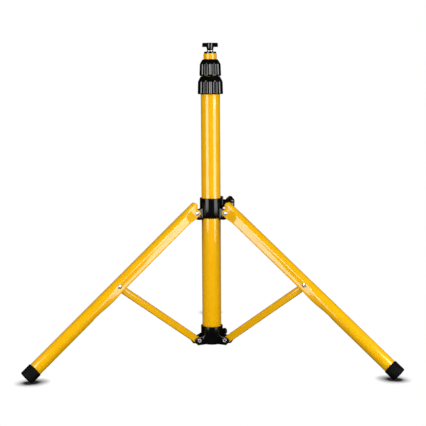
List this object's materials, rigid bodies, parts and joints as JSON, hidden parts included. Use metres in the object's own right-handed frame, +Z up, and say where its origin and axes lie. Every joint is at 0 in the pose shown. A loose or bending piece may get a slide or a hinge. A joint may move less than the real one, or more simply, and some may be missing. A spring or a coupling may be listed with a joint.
{
  "type": "work light tripod stand",
  "caption": "Telescoping tripod stand for a work light: channel legs and struts fold on a sliding collar, twist-lock tubes, wing knob on top.",
  "frame": {"origin": "on the floor, in the middle of the stand's bounding box with the base spread and the column lowered", "axes": "+Z up; X across the two front feet, the longest extent; the third leg points to +Y, so the column's axis is parallel to Z at y = -97.1 mm"},
  "size_m": [0.7068, 0.6163, 0.6245],
  "materials": {
    "yellow_paint": "glossy powder coat on steel",
    "black_plastic": "glossy moulded",
    "matte_black_plastic": "matte moulded",
    "black_steel": "black oxide",
    "foot_rubber": "matte moulded",
    "nylon": "natural nylon",
    "zinc_steel": "bright zinc plate",
    "brass": "turned"
  },
  "bodies": {
    "mast": {"main_tube": "yellow_paint", "base_plug": "matte_black_plastic", "hub": "black_plastic", "hub_screw": "black_steel", "lower_collet": "nylon", "hub_rivet_1": "zinc_steel", "hub_rivet_2": "zinc_steel", "hub_rivet_3": "zinc_steel"},
    "lower_nut": {"lower_twist_nut": "black_plastic"},
    "mid_mast": {"mid_tube": "yellow_paint", "mid_guide_bush": "nylon", "upper_collet": "nylon"},
    "upper_nut": {"upper_twist_nut": "black_plastic"},
    "top_mast": {"inner_tube": "yellow_paint", "inner_guide_bush": "nylon", "top_plug": "black_plastic", "top_thread_insert": "zinc_steel"},
    "top_knob": {"top_wing_knob": "black_plastic", "top_knob_stud": "zinc_steel"},
    "collar": {"leg_collar": "black_plastic", "clamp_insert": "brass", "clamp_shoe": "nylon", "leg_pivot_rivet_1": "zinc_steel", "leg_pivot_rivet_2": "zinc_steel", "leg_pivot_rivet_3": "zinc_steel"},
    "collar_knob": {"clamp_knob": "black_plastic", "clamp_screw": "zinc_steel"},
    "leg_1": {"leg_tube_1": "yellow_paint", "foot_cap_1": "foot_rubber", "strut_rivet_1": "zinc_steel"},
    "strut_1": {"strut_1": "yellow_paint"},
    "leg_2": {"leg_tube_2": "yellow_paint", "foot_cap_2": "foot_rubber", "strut_rivet_2": "zinc_steel"},
    "strut_2": {"strut_2": "yellow_paint"},
    "leg_3": {"leg_tube_3": "yellow_paint", "foot_cap_3": "foot_rubber", "strut_rivet_3": "zinc_steel"},
    "strut_3": {"strut_3": "yellow_paint"}
  },
  "joints": [
    {"name": "leg_1_fold", "type": "hinge", "parent": "strut_1", "child": "leg_1", "pos_m": [-0.1807, -0.20139, 0.16258], "axis": [0.5, -0.866, 0], "range_deg": [0, 88]},
    {"name": "strut_1_hub", "type": "hinge", "parent": "mast", "child": "strut_1", "pos_m": [-0.03048, -0.11467, 0.0347], "axis": [-0.5, 0.866, 0], "range_deg": [0, 44]},
    {"name": "collar_rise", "type": "hinge", "parent": "leg_1", "child": "collar", "pos_m": [-0.03048, -0.11467, 0.29046], "axis": [-0.5, 0.866, 0], "range_deg": [0, 44]},
    {"name": "leg_2_fold", "type": "hinge", "parent": "collar", "child": "leg_2", "pos_m": [0.03048, -0.11467, 0.29046], "axis": [0.5, 0.866, 0], "range_deg": [0, 44]},
    {"name": "strut_2_fold", "type": "hinge", "parent": "leg_2", "child": "strut_2", "pos_m": [0.1807, -0.20139, 0.16258], "axis": [-0.5, -0.866, 0], "range_deg": [0, 88]},
    {"name": "leg_3_fold", "type": "hinge", "parent": "collar", "child": "leg_3", "pos_m": [0, -0.06187, 0.29046], "axis": [-1, 0, 0], "range_deg": [0, 44]},
    {"name": "strut_3_fold", "type": "hinge", "parent": "leg_3", "child": "strut_3", "pos_m": [0, 0.11159, 0.16258], "axis": [1, 0, 0], "range_deg": [0, 88]},
    {"name": "mid_tube_slide", "type": "slide", "parent": "mast", "child": "mid_mast", "axis": [0, 0, 1], "range_m": [0, 0.43]},
    {"name": "inner_tube_slide", "type": "slide", "parent": "mid_mast", "child": "top_mast", "axis": [0, 0, 1], "range_m": [0, 0.43]},
    {"name": "lower_nut_turn", "type": "hinge", "parent": "mast", "child": "lower_nut", "pos_m": [0, -0.09707, 0.5421], "axis": [0, 0, 1], "range_deg": [0, 120]},
    {"name": "upper_nut_turn", "type": "hinge", "parent": "mid_mast", "child": "upper_nut", "pos_m": [0, -0.09707, 0.5761], "axis": [0, 0, 1], "range_deg": [0, 120]},
    {"name": "top_knob_turn", "type": "hinge", "parent": "top_mast", "child": "top_knob", "pos_m": [0, -0.09707, 0.617], "axis": [0, 0, 1], "continuous": true},
    {"name": "clamp_knob_turn", "type": "hinge", "parent": "collar", "child": "collar_knob", "pos_m": [0.0381, -0.07507, 0.307], "axis": [0.866, 0.5, 0], "continuous": true}
  ],
  "couplings": [
    {"joint": "strut_1_hub", "follows": "leg_1_fold", "ratio": 0.5},
    {"joint": "collar_rise", "follows": "leg_1_fold", "ratio": 0.5},
    {"joint": "leg_2_fold", "follows": "leg_1_fold", "ratio": 0.5},
    {"joint": "strut_2_fold", "follows": "leg_1_fold", "ratio": 1},
    {"joint": "leg_3_fold", "follows": "leg_1_fold", "ratio": 0.5},
    {"joint": "strut_3_fold", "follows": "leg_1_fold", "ratio": 1}
  ]
}
